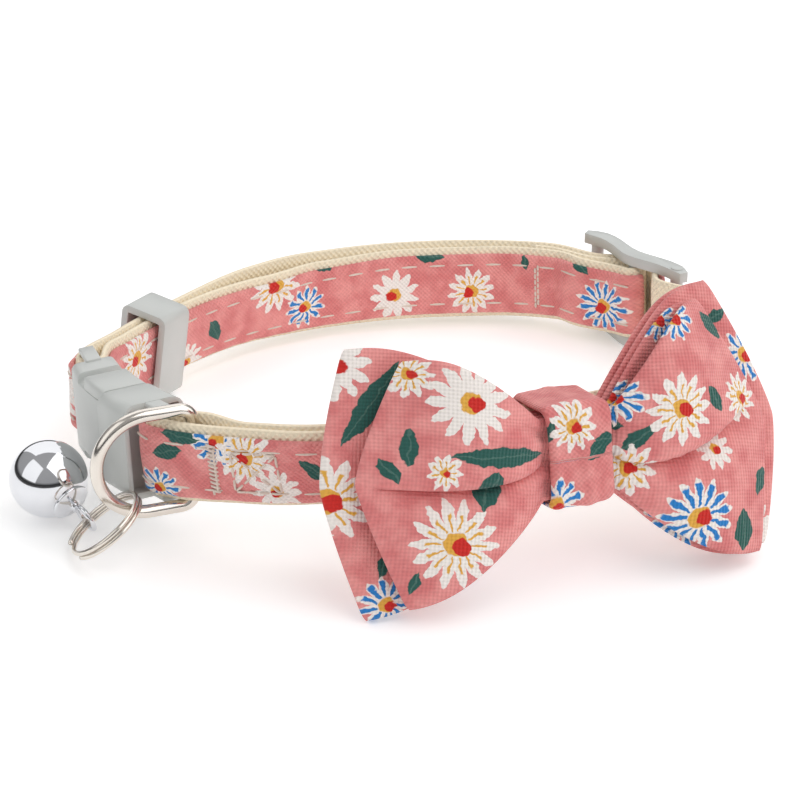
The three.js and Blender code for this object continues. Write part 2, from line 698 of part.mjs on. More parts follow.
// ---------------------------------------------------------------- the assembly
const greyPlastic = { color: 0xc8cbc9, roughness: 0.5, metalness: 0 };
const printedCotton = { color: 0xe88c8e, roughness: 0.9, metalness: 0 };
const nickel = { color: 0xd8d0c2, roughness: 0.2, metalness: 1 };

const collar = new THREE.Group();
collar.add(meshOf('strap_webbing', strapWebbing(), { color: 0xf7e6c3, roughness: 0.95, metalness: 0 }));
collar.add(meshOf('strap_cover', strapCover(), printedCotton));
collar.add(meshOf('keeper_loop', keeperLoop(), greyPlastic));
collar.add(meshOf('slider', sliderPiece(), greyPlastic));
collar.add(meshOf('buckle_socket', buckleSocket(), greyPlastic));
collar.add(meshOf('buckle_plug', bucklePlug(), greyPlastic));
collar.add(meshOf('d_ring', dRingPiece(), nickel));
collar.add(meshOf('split_ring', splitRingPiece(), nickel));
collar.add(meshOf('bell', bellPiece(), { color: 0xf0f0f2, roughness: 0.05, metalness: 1 }));
collar.add(meshOf('bow_back', bowLayer(bowLayers.back), printedCotton));
collar.add(meshOf('bow_front', bowLayer(bowLayers.front), printedCotton));
collar.add(meshOf('bow_knot', bowKnot(), printedCotton));

// The origin is under the middle of the whole collar's box, on the table.
const box = new THREE.Box3().setFromObject(collar);
const middle = box.getCenter(new THREE.Vector3());
collar.position.set(-middle.x, -middle.y, -box.min.z);

export default collar;
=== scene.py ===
"""Pet bow tie collar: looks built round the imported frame. Lengths below are millimetres."""
import math

import bpy
import numpy as np
from mathutils import Matrix, Vector


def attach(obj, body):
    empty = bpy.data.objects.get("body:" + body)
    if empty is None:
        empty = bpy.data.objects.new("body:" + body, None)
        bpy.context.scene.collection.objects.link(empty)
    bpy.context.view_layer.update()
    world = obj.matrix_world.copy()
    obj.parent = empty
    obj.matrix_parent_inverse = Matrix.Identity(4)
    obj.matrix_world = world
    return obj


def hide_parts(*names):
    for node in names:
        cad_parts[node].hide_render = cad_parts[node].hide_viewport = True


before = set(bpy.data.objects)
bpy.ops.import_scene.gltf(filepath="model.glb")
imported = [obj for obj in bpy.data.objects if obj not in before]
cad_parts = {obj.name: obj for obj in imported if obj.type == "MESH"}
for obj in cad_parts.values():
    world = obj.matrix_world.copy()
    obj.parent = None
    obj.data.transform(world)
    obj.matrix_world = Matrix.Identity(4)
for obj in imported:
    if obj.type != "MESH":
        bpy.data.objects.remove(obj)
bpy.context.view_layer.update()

MM = 0.001
# from the loop's own coordinates to the frame's, in millimetres
SHIFT = np.array([1.16981, 6.04973, 0.36516])

# ---------------------------------------------------------------- the loop, as in the frame
STRAP_WIDTH = 10.0
LAYER_PITCH = 1.3
FOLD_RADIUS = 1.5
SLIDER_BAR = 7.6
SLIDER_OFFSET = -1.2
UNDER_BAR = -1.1
SEWN_END = 16.0
FRONT_END = 33.0
BACK_SLACK = 2.0
BAR_BACK = 4.4

# the strap's outer layer, clockwise from the buckle plug: name, x, y, height of the lower edge, lean
LOOP = [
    ("plug bar", -39.9, -8.0, 3.5, 0), ("left side", -36.6, 3.0, 2.2, -6),
    ("keeper side", -29.2, 15.6, 1.7, -9), ("back left", -21.1, 25.4, 1.7, -11),
    ("back", -12.5, 31.5, 1.0, -2), ("back middle", 0, 35.3, 0.7, 5),
    ("back right", 12, 35.9, 0.8, 5), ("before the slider", 23.6, 32.7, 1.4, 2),
    ("slider", 32.6, 26.6, 1.5, 0), ("after the slider", 38.8, 15.6, 2.5, 0),
    ("right side", 41.0, 4, 3.8, 0), ("right front", 40.6, -7, 5.4, -1),
    ("behind the right wing", 36.4, -17.6, 7.4, -5), ("right of the knot", 28.8, -25.3, 8.3, -13),
    ("knot", 17.6, -31.6, 8.7, -14), ("left of the knot", 4.6, -34.5, 8.2, -8),
    ("front", -9.3, -35.4, 7.3, 9), ("front left", -18.0, -33.2, 6.4, 5),
    ("socket bar", -28.5, -29.2, 5.6, 0), ("buckle", -36.4, -19.4, 4.5, 0),
]
NODES = np.array([[x, y, low + STRAP_WIDTH / 2] for _, x, y, low, _ in LOOP])
LEANS = [row[4] for row in LOOP]
COUNT = len(LOOP)


def eased(t):
    c = np.clip(t, 0, 1)
    return c * c * (3 - 2 * c)


def curve_point(t):
    """The smooth closed curve through the loop's rows; t goes once round from 0 to 1."""
    at = (t % 1) * COUNT
    i = int(at)
    w = at - i
    p0, p1, p2, p3 = (NODES[(i + k) % COUNT] for k in (-1, 0, 1, 2))
    d0, d1, d2 = (math.sqrt(np.linalg.norm(b - a)) for a, b in ((p0, p1), (p1, p2), (p2, p3)))
    m1 = ((p1 - p0) / d0 - (p2 - p0) / (d0 + d1) + (p2 - p1) / d1) * d1
    m2 = ((p2 - p1) / d1 - (p3 - p1) / (d1 + d2) + (p3 - p2) / d2) * d1
    return p1 + m1 * w + (3 * (p2 - p1) - 2 * m1 - m2) * w ** 2 + (2 * (p1 - p2) + m1 + m2) * w ** 3


SAMPLES = 1600
CURVE = np.array([curve_point(i / SAMPLES) for i in range(SAMPLES + 1)])
LENGTHS = np.concatenate([[0], np.cumsum(np.linalg.norm(np.diff(CURVE, axis=0), axis=1))])
LOOP_LENGTH = LENGTHS[-1]


def unit(v):
    return v / np.linalg.norm(v)


def turned(v, axis, degrees):
    return np.array(Matrix.Rotation(math.radians(degrees), 3, Vector(axis)) @ Vector(v))


def loop_frame(s):
    t = np.interp(s % LOOP_LENGTH, LENGTHS, np.linspace(0, 1, SAMPLES + 1))
    at = t * COUNT
    row = int(at) % COUNT
    lean = LEANS[row] + (LEANS[(row + 1) % COUNT] - LEANS[row]) * eased(at - int(at))
    tangent = unit(curve_point(t + 2e-4) - curve_point(t - 2e-4))
    outward = unit(np.array([-tangent[1], tangent[0], 0]))
    upward = np.cross(tangent, outward)
    return curve_point(t), tangent, turned(outward, tangent, -lean), turned(upward, tangent, -lean)


def station(name):
    target = NODES[[row[0] for row in LOOP].index(name)]
    return LENGTHS[np.argmin(np.linalg.norm(CURVE[:-1] - target, axis=1))]


def loop_point(s, offset):
    at, _, outward, _ = loop_frame(s)
    return at + outward * offset


def read_table(rows, at):
    value = rows[0][1]
    for (a, v0), (b, v1) in zip(rows, rows[1:]):
        value += (v1 - v0) * eased((at - a) / (b - a))
    return value


SLIDER_AT = station("slider")
KNOT_AT = station("knot")
SOCKET_AT = station("socket bar")
D_BAR_AT = SOCKET_AT - BAR_BACK
KEEPER_AT = (station("left side") + station("keeper side")) / 2 + 0.4

# how far each layer of the strap lies off the loop, as rows of (place along the loop, offset)
OUTER = [
    (SLIDER_AT - 14, 0), (SLIDER_AT - SLIDER_BAR, UNDER_BAR),
    (SLIDER_AT, SLIDER_OFFSET + FOLD_RADIUS + LAYER_PITCH + 0.15),
    (SLIDER_AT + SLIDER_BAR, -2.3), (SLIDER_AT + SLIDER_BAR + 7, 0),
]
INNER = [
    (0, -2 * FOLD_RADIUS), (8, -LAYER_PITCH), (KEEPER_AT + 4, -LAYER_PITCH),
    (KEEPER_AT + 26, -LAYER_PITCH - BACK_SLACK), (SLIDER_AT - SEWN_END - 12, -LAYER_PITCH - BACK_SLACK),
    (SLIDER_AT - SEWN_END - 1, -2 * LAYER_PITCH), (SLIDER_AT - SLIDER_BAR - 4, -2 * LAYER_PITCH),
    (SLIDER_AT - SLIDER_BAR, UNDER_BAR - 2 * LAYER_PITCH), (SLIDER_AT, SLIDER_OFFSET - FOLD_RADIUS),
]
SEWN = [
    (SLIDER_AT - 14, -LAYER_PITCH), (SLIDER_AT - SLIDER_BAR, UNDER_BAR - LAYER_PITCH),
    (SLIDER_AT, SLIDER_OFFSET + FOLD_RADIUS),
]
FRONT = [
    (SOCKET_AT - 12, -LAYER_PITCH), (D_BAR_AT - 1.2, -2 * FOLD_RADIUS), (SOCKET_AT, -2 * FOLD_RADIUS),
]
STEP = 0.8


def run(start, end, rows):
    n = max(2, round(abs(end - start) / STEP))
    return [(s, read_table(rows, s)) for s in np.linspace(start, end, n, endpoint=False)]


def fold(at, offset, a0, a1):
    angles = np.radians(np.linspace(a0, a1, 14))
    return [(at + FOLD_RADIUS * math.cos(a), offset + FOLD_RADIUS * math.sin(a)) for a in angles]


SEWN_RUN = run(SLIDER_AT - SEWN_END, SLIDER_AT, SEWN)
SLIDER_FOLD = fold(SLIDER_AT, SLIDER_OFFSET, 90, -90)
INNER_RUN = run(SLIDER_AT - 1, 0, INNER)
PLUG_FOLD = fold(0, -FOLD_RADIUS, -90, -270)
OUTER_RUN = run(1, SOCKET_AT, OUTER)
SOCKET_FOLD = fold(SOCKET_AT, -FOLD_RADIUS, 90, -90)
FRONT_RUN = run(SOCKET_AT - 1, SOCKET_AT - FRONT_END, FRONT)
ROUTE = SEWN_RUN + SLIDER_FOLD + INNER_RUN + PLUG_FOLD + OUTER_RUN + SOCKET_FOLD + FRONT_RUN
COVER_FROM = len(SEWN_RUN) + len(SLIDER_FOLD) // 2
OUTER_FROM = len(SEWN_RUN) + len(SLIDER_FOLD) + len(INNER_RUN) + len(PLUG_FOLD) // 2
FRONT_FROM = OUTER_FROM + len(PLUG_FOLD) // 2 + len(OUTER_RUN) + len(SOCKET_FOLD) // 2


def route_frames():
    points = np.array([loop_point(s, offset) for s, offset in ROUTE])
    ups = np.array([loop_frame(s)[3] for s, _ in ROUTE])
    along = np.gradient(points, axis=0)
    along /= np.linalg.norm(along, axis=1)[:, None]
    left = np.cross(ups, along)
    left /= np.linalg.norm(left, axis=1)[:, None]
    length = np.concatenate([[0], np.cumsum(np.linalg.norm(np.diff(points, axis=0), axis=1))])
    return points, along, left, ups, length


POINTS, ALONG, LEFT, UPS, ROUTE_LENGTH = route_frames()


# ---------------------------------------------------------------- mesh helpers
def add_mesh(name, verts, faces, uvs=None, smooth=True):
    mesh = bpy.data.meshes.new(name)
    in_metres = (np.asarray(verts, float) + SHIFT) * MM
    mesh.from_pydata([tuple(v) for v in in_metres], [], [tuple(f) for f in faces])
    if uvs is not None:
        layer = mesh.uv_layers.new(name="cloth")
        flat = np.array([uvs[loop.vertex_index] for loop in mesh.loops], np.float32)
        layer.data.foreach_set("uv", flat.ravel())
    for polygon in mesh.polygons:
        polygon.use_smooth = smooth
    mesh.update()
    thing = bpy.data.objects.new(name, mesh)
    bpy.context.scene.collection.objects.link(thing)
    return thing


def ring_faces(rings, count, closed):
    faces = []
    for i in range(rings if closed else rings - 1):
        a, b = i * count, ((i + 1) % rings) * count
        faces += [(a + j, a + (j + 1) % count, b + (j + 1) % count, b + j) for j in range(count)]
    if not closed:
        last = (rings - 1) * count
        faces += [tuple(range(count))[::-1], tuple(range(last, last + count))]
    return faces


def tube(name, points, radius, sides, normal, closed):
    n = len(points)
    verts = []
    for i, p in enumerate(points):
        before = points[i - 1] if closed or i else p
        after = points[(i + 1) % n] if closed or i < n - 1 else p
        tangent = unit(after - before)
        side = unit(np.cross(normal, tangent))
        lift = np.cross(tangent, side)
        for a in np.arange(sides) * 2 * math.pi / sides:
            verts.append(p + radius * (side * math.cos(a) + lift * math.sin(a)))
    return add_mesh(name, verts, ring_faces(n, sides, closed))


# ---------------------------------------------------------------- the strap
def band(name, first, last, section, width, relief=None):
    """A closed band along the route. section rows are (side across the width -1..1, height off the route)."""
    verts, uvs = [], []
    rings = range(first, last + 1)
    for i in rings:
        for side, height in section:
            rise = side * width / 2
            bump = relief(ROUTE_LENGTH[i], rise, height) if relief else 0
            verts.append(POINTS[i] + LEFT[i] * (height + bump) + UPS[i] * rise)
            uvs.append((ROUTE_LENGTH[i], rise))
    return add_mesh(name, verts, ring_faces(len(rings), len(section), False), uvs)


def webbing_piece():
    across = np.linspace(-1, 1, 9)
    face = [(x, 0.5 - 0.22 * abs(x) ** 6) for x in across]
    back = [(x, -0.5 + 0.22 * abs(x) ** 6) for x in across[::-1]]
    return band("webbing", 0, len(ROUTE) - 1, back + face, STRAP_WIDTH)


ROW_RISE = 2.8
STITCH_PITCH = 4.0
THREAD_RADIUS = 0.17
TAPE_WIDTH = 8.6
TAPE_BACK, TAPE_FACE = 0.62, 1.38


def tape_relief(u, rise, height):
    if height < 0.7:
        return 0
    near_row = math.exp(-((abs(rise) - ROW_RISE) / 0.55) ** 2)
    pull = 0.5 + 0.5 * math.cos(2 * math.pi * u / STITCH_PITCH)
    return -0.16 * near_row * (0.4 + 0.6 * pull) + 0.05 * math.sin(u * 1.7 + rise) * (1 - near_row)


def tape_piece():
    across = np.linspace(-1, 1, 25)
    face = [(x, TAPE_FACE - 0.45 * abs(x) ** 14) for x in across]
    back = [(x, TAPE_BACK) for x in (0.98, 0.4, -0.4, -0.98)]
    return band("floral_tape", COVER_FROM, len(ROUTE) - 1, face + back, TAPE_WIDTH, tape_relief)


def stitch_mesh(name, spots, radius):
    """Short rounded threads; spots rows are (middle, along, out, half length)."""
    verts, faces = [], []
    profile = [(-1.0, 0.25), (-0.8, 0.85), (0.0, 1.0), (0.8, 0.85), (1.0, 0.25)]
    for middle, along, out, half in spots:
        side = unit(np.cross(out, along))
        base = len(verts)
        for t, r in profile:
            centre = middle + along * t * half - out * radius * 0.7 * t ** 2
            for k in range(6):
                a = k * math.pi / 3
                verts.append(centre + radius * r * (side * math.cos(a) + out * math.sin(a)))
        for j in range(4):
            for k in range(6):
                a, b = base + j * 6 + k, base + j * 6 + (k + 1) % 6
                faces.append((a, b, b + 6, a + 6))
        faces += [tuple(base + k for k in range(6))[::-1], tuple(base + 24 + k for k in range(6))]
    return add_mesh(name, verts, faces)


def route_at(u):
    i = int(np.clip(np.searchsorted(ROUTE_LENGTH, u), 1, len(ROUTE) - 1))
    w = (u - ROUTE_LENGTH[i - 1]) / max(ROUTE_LENGTH[i] - ROUTE_LENGTH[i - 1], 1e-9)
    mix = lambda rows: rows[i - 1] * (1 - w) + rows[i] * w
    return mix(POINTS), unit(mix(ALONG)), unit(mix(LEFT)), unit(mix(UPS))


def thread_spot(u, rise, half, lift, turn=0.0):
    at, along, left, up = route_at(u)
    heading = along * math.cos(turn) + up * math.sin(turn)
    return at + left * lift + up * rise, heading, left, half


def front_station(s):
    i = min(range(OUTER_FROM, FRONT_FROM), key=lambda k: abs(ROUTE[k][0] - s))
    return ROUTE_LENGTH[i]


def strap_stitches():
    start, end = ROUTE_LENGTH[COVER_FROM] + 2, ROUTE_LENGTH[-1] - 1
    spots = []
    for rise in (ROW_RISE, -ROW_RISE):
        spots += [thread_spot(u, rise, half=1.45, lift=1.24) for u in np.arange(start, end, STITCH_PITCH)]
    # the sewn end of the front layer: a bar of close stitches and a crossed box
    bar = front_station(SOCKET_AT - 7.6)
    for k in np.linspace(-3.0, 3.0, 12):
        spots.append(thread_spot(bar + 0.25 * (-1) ** int(k * 4), k, turn=math.pi / 2, half=0.42, lift=1.44))
        spots.append(thread_spot(bar, k + 0.2, turn=0.25, half=0.62, lift=1.48))
    near, far = front_station(SOCKET_AT - 10.0), front_station(SOCKET_AT - 15.8)
    low, high = -2.7, 2.5
    corners = [(near, low), (near, high), (far, low), (far, high)]
    lines = [(corners[a], corners[b]) for a, b in ((0, 1), (2, 3), (0, 2), (1, 3), (0, 3), (1, 2))]
    for (u0, v0), (u1, v1) in lines:
        length = math.hypot(u1 - u0, v1 - v0)
        n = max(2, round(length / 1.55))
        for k in range(n):
            t = (k + 0.5) / n
            spots.append(thread_spot(u0 + (u1 - u0) * t, v0 + (v1 - v0) * t,
                                     turn=math.atan2(v1 - v0, u1 - u0), half=length / n * 0.42, lift=1.46))
    cross = ROUTE_LENGTH[min(range(COVER_FROM, OUTER_FROM), key=lambda k: abs(ROUTE[k][0] - SLIDER_AT + 15))]
    spots += [thread_spot(cross + 0.2 * (-1) ** k, -2.8 + 0.42 * k, turn=math.pi / 2, half=0.4, lift=1.42)
              for k in range(14)]
    return stitch_mesh("stitches", spots, THREAD_RADIUS)


# ---------------------------------------------------------------- the bow
SHEET_HALF_GAP = 0.65
PINCH_HALF = 4.7
KNOT_WIDTH = 8.0
PINCH_REACH = KNOT_WIDTH / 2 + 0.6
BOW_FACING = math.radians(19)
FRONT_SPINE = 1.6 + 0.7 + 2.9 + SHEET_HALF_GAP + 0.5

# a wing's length from the knot, how far it rises and falls, how much shorter it is at its corners, the
# degrees that it sweeps back and leans, and how fast it widens
WING = ("length", "rise", "fall", "drawn_up", "drawn_down", "sweep", "lean", "flare_up", "flare_down")
# behind is how far back a layer lies, fan how much further at its ends, puff how far its walls swell, and
# edge_bend how its end bends back towards the corners
FRONT_LAYER = {
    "behind": 0.0, "fan": 0.0, "puff_front": 3.9, "puff_back": 0.1, "crease": 1.0, "edge_bend": 1.25,
    "left": dict(zip(WING, (25.5, 12.9, 14.6, 7, 4, 3, 11, 2.6, 1.8))),
    "right": dict(zip(WING, (25.1, 14.9, 15.3, 6, 4, 10.5, 14, 2.4, 2.4))),
}
BACK_LAYER = {
    "behind": 2.9, "fan": 0.5, "puff_front": 0.0, "puff_back": 0.6, "crease": 0.2, "edge_bend": 1.35,
    "left": dict(zip(WING, (28.8, 15.2, 15.2, 4.9, 2.9, 0.5, 11, 2.1, 1.9))),
    "right": dict(zip(WING, (28.5, 17.0, 14.7, 5.7, 4.4, 9, 14, 2.3, 2.2))),
}
KNOT_OUT = loop_frame(KNOT_AT)[2]
BOW_ALONG = np.array([math.cos(BOW_FACING), math.sin(BOW_FACING), 0])
BOW_BACK = -KNOT_OUT
BOW_UP = unit(np.cross(BOW_ALONG, BOW_BACK))
BOW_CENTRE = loop_point(KNOT_AT, FRONT_SPINE)


SWEEP_REACH = 12
# the wall's inner face stays short of the sleeve's middle where the sleeve closes
INSIDE_SHARE = 0.75
# where the crease starts at the knot and ends at the wing's end, for the left and the right wing
CREASE_START = {-1: -0.06, 1: -0.18}
CREASE_END = {-1: 0.0, 1: 0.18}
CREASE_ABOVE, CREASE_BELOW, CREASE_DEPTH = 0.13, 0.30, 0.3
# the lap of cloth above the crease that hangs over it
LAP_AT, LAP_WIDTH, LAP_DROP, LAP_BULGE = 0.11, 0.10, 2.3, 1.1


def in_bow(x, y, z):
    return BOW_CENTRE + BOW_ALONG * x + BOW_BACK * y + BOW_UP * z


def spine_at(sweep, distance):
    """How far along and back a wing's middle has got at a distance from the knot, and its angle there."""
    steps = 10
    step = distance / steps
    angles = np.radians(sweep * np.tanh((np.arange(steps) + 0.5) * step / SWEEP_REACH))
    angle = math.radians(sweep * math.tanh(distance / SWEEP_REACH))
    return np.cos(angles).sum() * step, np.sin(angles).sum() * step, angle


def gathers(distance, v, open_share, side):
    """Pleats that fan out of the knot and die away along the wing."""
    fade = math.exp(-max(distance - PINCH_REACH, 0) / 8.5)
    pleats = math.sin(9.5 * v + 1.1 * side) + 0.5 * math.sin(17 * v + 2.0 + side)
    middle_share = math.sin(math.pi * min(open_share, 1)) ** 2
    long_fold = math.exp(-((v - 0.5 - 0.18 * open_share) / 0.16) ** 2) * middle_share
    return 0.26 * pleats * fade + 0.35 * long_fold * (0.6 if side < 0 else 0.9)


def bow_point(layer, turn, v):
    side = -1 if math.cos(turn) < 0 else 1
    wing = layer["left"] if side < 0 else layer["right"]
    reach = abs(math.cos(turn))
    drawn = wing["drawn_up"] if v > 0 else wing["drawn_down"]
    length = wing["length"] - drawn * abs(v) ** layer["edge_bend"] * eased(reach)
    distance = reach * length
    opened = max(0.0, (distance - PINCH_REACH) / (length - PINCH_REACH))
    flare = 1 - (1 - min(opened, 1)) ** (wing["flare_up"] if v > 0 else wing["flare_down"])
    rise = v * (PINCH_HALF + ((wing["rise"] if v > 0 else wing["fall"]) - PINCH_HALF) * flare)
    puff = math.sin(math.pi * min(opened, 1) ** 0.75) * (1 - 0.45 * v * v)
    front = math.sin(turn) > 0
    closing = math.sqrt(max(0.0, 1 - reach ** 10))
    if front:
        swell = layer["puff_front"] * puff
        swell += max(gathers(distance, v, opened, side), -0.2) if layer["crease"] > 0.5 else 0
        track = CREASE_START[side] + (CREASE_END[side] - CREASE_START[side]) * opened
        off = v - track
        width = CREASE_ABOVE if off > 0 else CREASE_BELOW
        end_fade = min(1.0, 4 * (1.04 - opened)) ** 0.5
        cut = math.exp(-(abs(off) / width) ** 1.25) * layer["crease"] * end_fade
        swell = swell * (1 - cut) - CREASE_DEPTH * cut
        lap_fade = math.sin(math.pi * min(opened, 1)) ** 0.5
        lap = math.exp(-((off - LAP_AT) / LAP_WIDTH) ** 2) * layer["crease"] * lap_fade
        rise -= LAP_DROP * lap
        swell += LAP_BULGE * lap
    else:
        swell = layer["puff_back"] * puff
    room = (SHEET_HALF_GAP + swell) * closing
    depth = (-1 if front else 1) * room + layer["behind"] + layer["fan"] * opened
    along, back_off, angle = spine_at(wing["sweep"], distance)
    lean = math.radians(wing["lean"] * eased(distance / 22))
    back = depth * math.cos(lean) + rise * math.sin(lean)
    point = in_bow(side * (along - math.sin(angle) * back), back_off + math.cos(angle) * back,
                   rise * math.cos(lean) - depth * math.sin(lean))
    return point, (side * distance, rise), room


def bow_sleeve(name, layer, columns=236, rows=61, thickness=0.8):
    angles = (np.arange(columns) + 0.5) * 2 * math.pi / columns
    across = np.linspace(-1, 1, rows)
    grid = [[bow_point(layer, turn, v) for v in across] for turn in angles]
    middle = np.array([[p for p, _, _ in column] for column in grid])
    flat = np.array([[uv for _, uv, _ in column] for column in grid])
    room = np.array([[r for _, _, r in column] for column in grid])[:, :, None]
    run_along = np.roll(middle, -1, axis=0) - np.roll(middle, 1, axis=0)
    run_across = np.gradient(middle, axis=1)
    normal = np.cross(run_along, run_across)
    normal /= np.linalg.norm(normal, axis=2)[:, :, None]
    hem = np.clip((np.abs(across) - 0.86) / 0.14, 0, 1)
    half = thickness / 2 * (1 - 0.55 * hem ** 4)[None, :, None]
    outer, inner = middle - normal * half, middle + normal * np.minimum(half, room * INSIDE_SHARE)
    verts = np.concatenate([outer, inner[:, ::-1]], axis=1).reshape(-1, 3)
    uvs = np.concatenate([flat, flat[:, ::-1]], axis=1).reshape(-1, 2)
    return add_mesh(name, verts, ring_faces(columns, 2 * rows, True), uvs)


def knot_piece():
    front = SHEET_HALF_GAP + 0.5 + 0.35
    behind = FRONT_SPINE + 0.5 + 0.35
    strap_half = STRAP_WIDTH / 2 + 0.5
    rows = [
        (-front, 0), (-front, PINCH_HALF - 0.4), (-front * 0.6, PINCH_HALF + 0.5),
        (behind * 0.4, PINCH_HALF + 0.5), (behind, strap_half), (behind, 0), (behind, -strap_half),
        (behind * 0.4, -PINCH_HALF - 0.5), (-front * 0.6, -PINCH_HALF - 0.5), (-front, -PINCH_HALF + 0.4),
    ]
    outline = np.array(rows + [rows[0]], float)
    lengths = np.concatenate([[0], np.cumsum(np.linalg.norm(np.diff(outline, axis=0), axis=1))])
    total = lengths[-1]
    rings, columns = 132, 25
    across = np.linspace(-1, 1, columns)
    verts, uvs = [], []
    at = np.linspace(0, total, rings, endpoint=False)
    raw = np.stack([np.interp(at, lengths, outline[:, k]) for k in (0, 1)], axis=1)
    for _ in range(3):
        raw = (np.roll(raw, 1, axis=0) + 2 * raw + np.roll(raw, -1, axis=0)) / 4
    tangent = np.roll(raw, -1, axis=0) - np.roll(raw, 1, axis=0)
    tangent /= np.linalg.norm(tangent, axis=1)[:, None]
    out = np.stack([-tangent[:, 1], tangent[:, 0]], axis=1)
    for i in range(rings):
        face, under = [], []
        is_front = max(0.0, -raw[i, 0]) / front
        for x in across:
            pleat = 0.16 * math.sin(6.2 * x + 0.7 + 0.12 * raw[i, 1])
            pleat += 0.08 * math.sin(13 * x + 0.3 * raw[i, 1])
            pillow = 0.28 * (1 - x * x) + pleat * (0.5 + 0.5 * is_front) - 0.5 * abs(x) ** 12
            width = KNOT_WIDTH / 2 * (1 - 0.05 * is_front * math.cos(raw[i, 1] / 5.5) ** 2)
            outer = raw[i] + out[i] * (0.72 + pillow * 0.8)
            inner = raw[i] + out[i] * 0.12
            face.append((in_bow(x * width, outer[0], outer[1]), (x * width, at[i])))
            under.append((in_bow(x * width * 0.98, inner[0], inner[1]), (x * width, at[i])))
        for point, uv in face + under[::-1]:
            verts.append(point)
            uvs.append(uv)
    return add_mesh("knot_band", verts, ring_faces(rings, 2 * columns, True), uvs)


# ---------------------------------------------------------------- metal pieces
RING_HEIGHT, RING_REACH, RING_CORNER, RING_SWING = 12.5, 11.7, 1.7, math.radians(201)
D_BAR = loop_point(D_BAR_AT, -FOLD_RADIUS)
D_AIM = np.array([math.cos(RING_SWING), math.sin(RING_SWING), 0])
UP = np.array([0, 0, 1.0])
SPLIT_RADIUS, SPLIT_WIRE, SPLIT_PITCH, SPLIT_TURNS = 4.8, 0.62, 0.66, 1.9
SPLIT_MIDDLE, BELL_HUNG_AT = math.radians(195), math.radians(122)
STEEP = unit(np.array([0.8, 0.1, 0.59]))
RING_NORMAL = unit(np.array([-0.58, 0, 0.81]))
ACROSS = unit(np.cross(RING_NORMAL, STEEP))
FOOT_REACH = 8.4
FOOT = D_BAR + D_AIM * FOOT_REACH - UP * math.sqrt(
    (RING_HEIGHT / 2) ** 2 - (FOOT_REACH - RING_REACH + RING_HEIGHT / 2) ** 2)
RING_CENTRE = FOOT - STEEP * (SPLIT_RADIUS - 1.7)
BELL_RADIUS = 4.75
BELL_CENTRE = np.array([-42.1, -24.2, BELL_RADIUS + 0.25])


def arc(centre_reach, centre_rise, radius, a0, a1, steps):
    return [(centre_reach + radius * math.cos(a), centre_rise + radius * math.sin(a))
            for a in np.radians(np.linspace(a0, a1, steps))]


def d_ring_piece():
    half, corner = RING_HEIGHT / 2, RING_CORNER
    outline = arc(RING_REACH - half, 0, half, -90, 90, 56) + arc(corner, half - corner, corner, 95, 180, 9)
    outline += [(0, z) for z in np.linspace(half - corner - 0.8, corner - half + 0.8, 9)]
    outline += arc(corner, corner - half, corner, 180, 265, 9)
    points = [D_BAR + D_AIM * reach + UP * rise for reach, rise in outline]
    return tube("d_ring_wire", points, 0.8, 28, np.cross(D_AIM, UP), True)


def ring_point(angle, rise):
    point = RING_CENTRE + STEEP * SPLIT_RADIUS * math.cos(angle)
    point = point + ACROSS * SPLIT_RADIUS * math.sin(angle)
    return point + RING_NORMAL * rise


def split_ring_piece():
    turns = np.linspace(-0.5, 0.5, 190) * SPLIT_TURNS
    points = [ring_point(SPLIT_MIDDLE + 2 * math.pi * t, SPLIT_PITCH * t) for t in turns]
    return tube("split_ring_wire", points, SPLIT_WIRE / 2, 20, RING_NORMAL, False)


SLOT_HALF_LENGTH, SLOT_HALF_WIDTH = 3.4, 0.5


def bell_frame():
    hung = ring_point(BELL_HUNG_AT, 0)
    aim = hung - BELL_CENTRE
    distance = np.linalg.norm(aim)
    aim = aim / distance
    along = unit(ring_point(BELL_HUNG_AT + 0.1, 0) - hung)
    through = unit(along - aim * (along @ aim))
    return aim, distance, through, unit(np.cross(through, aim))


def revolve(name, centre, axis, side, profile, segments=64):
    """profile rows are (distance along axis, radius)."""
    other = np.cross(axis, side)
    verts = []
    for along, radius in profile:
        for a in np.arange(segments) * 2 * math.pi / segments:
            verts.append(centre + axis * along + radius * (side * math.cos(a) + other * math.sin(a)))
    return add_mesh(name, verts, ring_faces(len(profile), segments, False))


def bell_pieces():
    aim, distance, through, across = bell_frame()
    r = BELL_RADIUS
    ball = [(-r * math.cos(a), max(r * math.sin(a), 0.01)) for a in np.radians(np.linspace(0, 180, 64))]
    shell = revolve("bell_shell", BELL_CENTRE, aim, through, ball)
    cap = [
        (r - 0.9, 2.2), (r - 0.35, 2.5), (r - 0.28, 2.35), (r + 0.05, 1.9), (r + 0.2, 1.0),
        (r + 0.6, 0.55), (r + 1.0, 0.5),
    ]
    flange = revolve("bell_cap", BELL_CENTRE, aim, through, cap, 40)
    middle = BELL_CENTRE + aim * (distance - 0.75)
    loop = [middle + 1.62 * (aim * math.cos(a) + across * math.sin(a))
            for a in np.linspace(0, 2 * math.pi, 40, endpoint=False)]
    tab = tube("bell_tab", loop, 0.34, 14, through, True)
    return [shell, flange, tab]


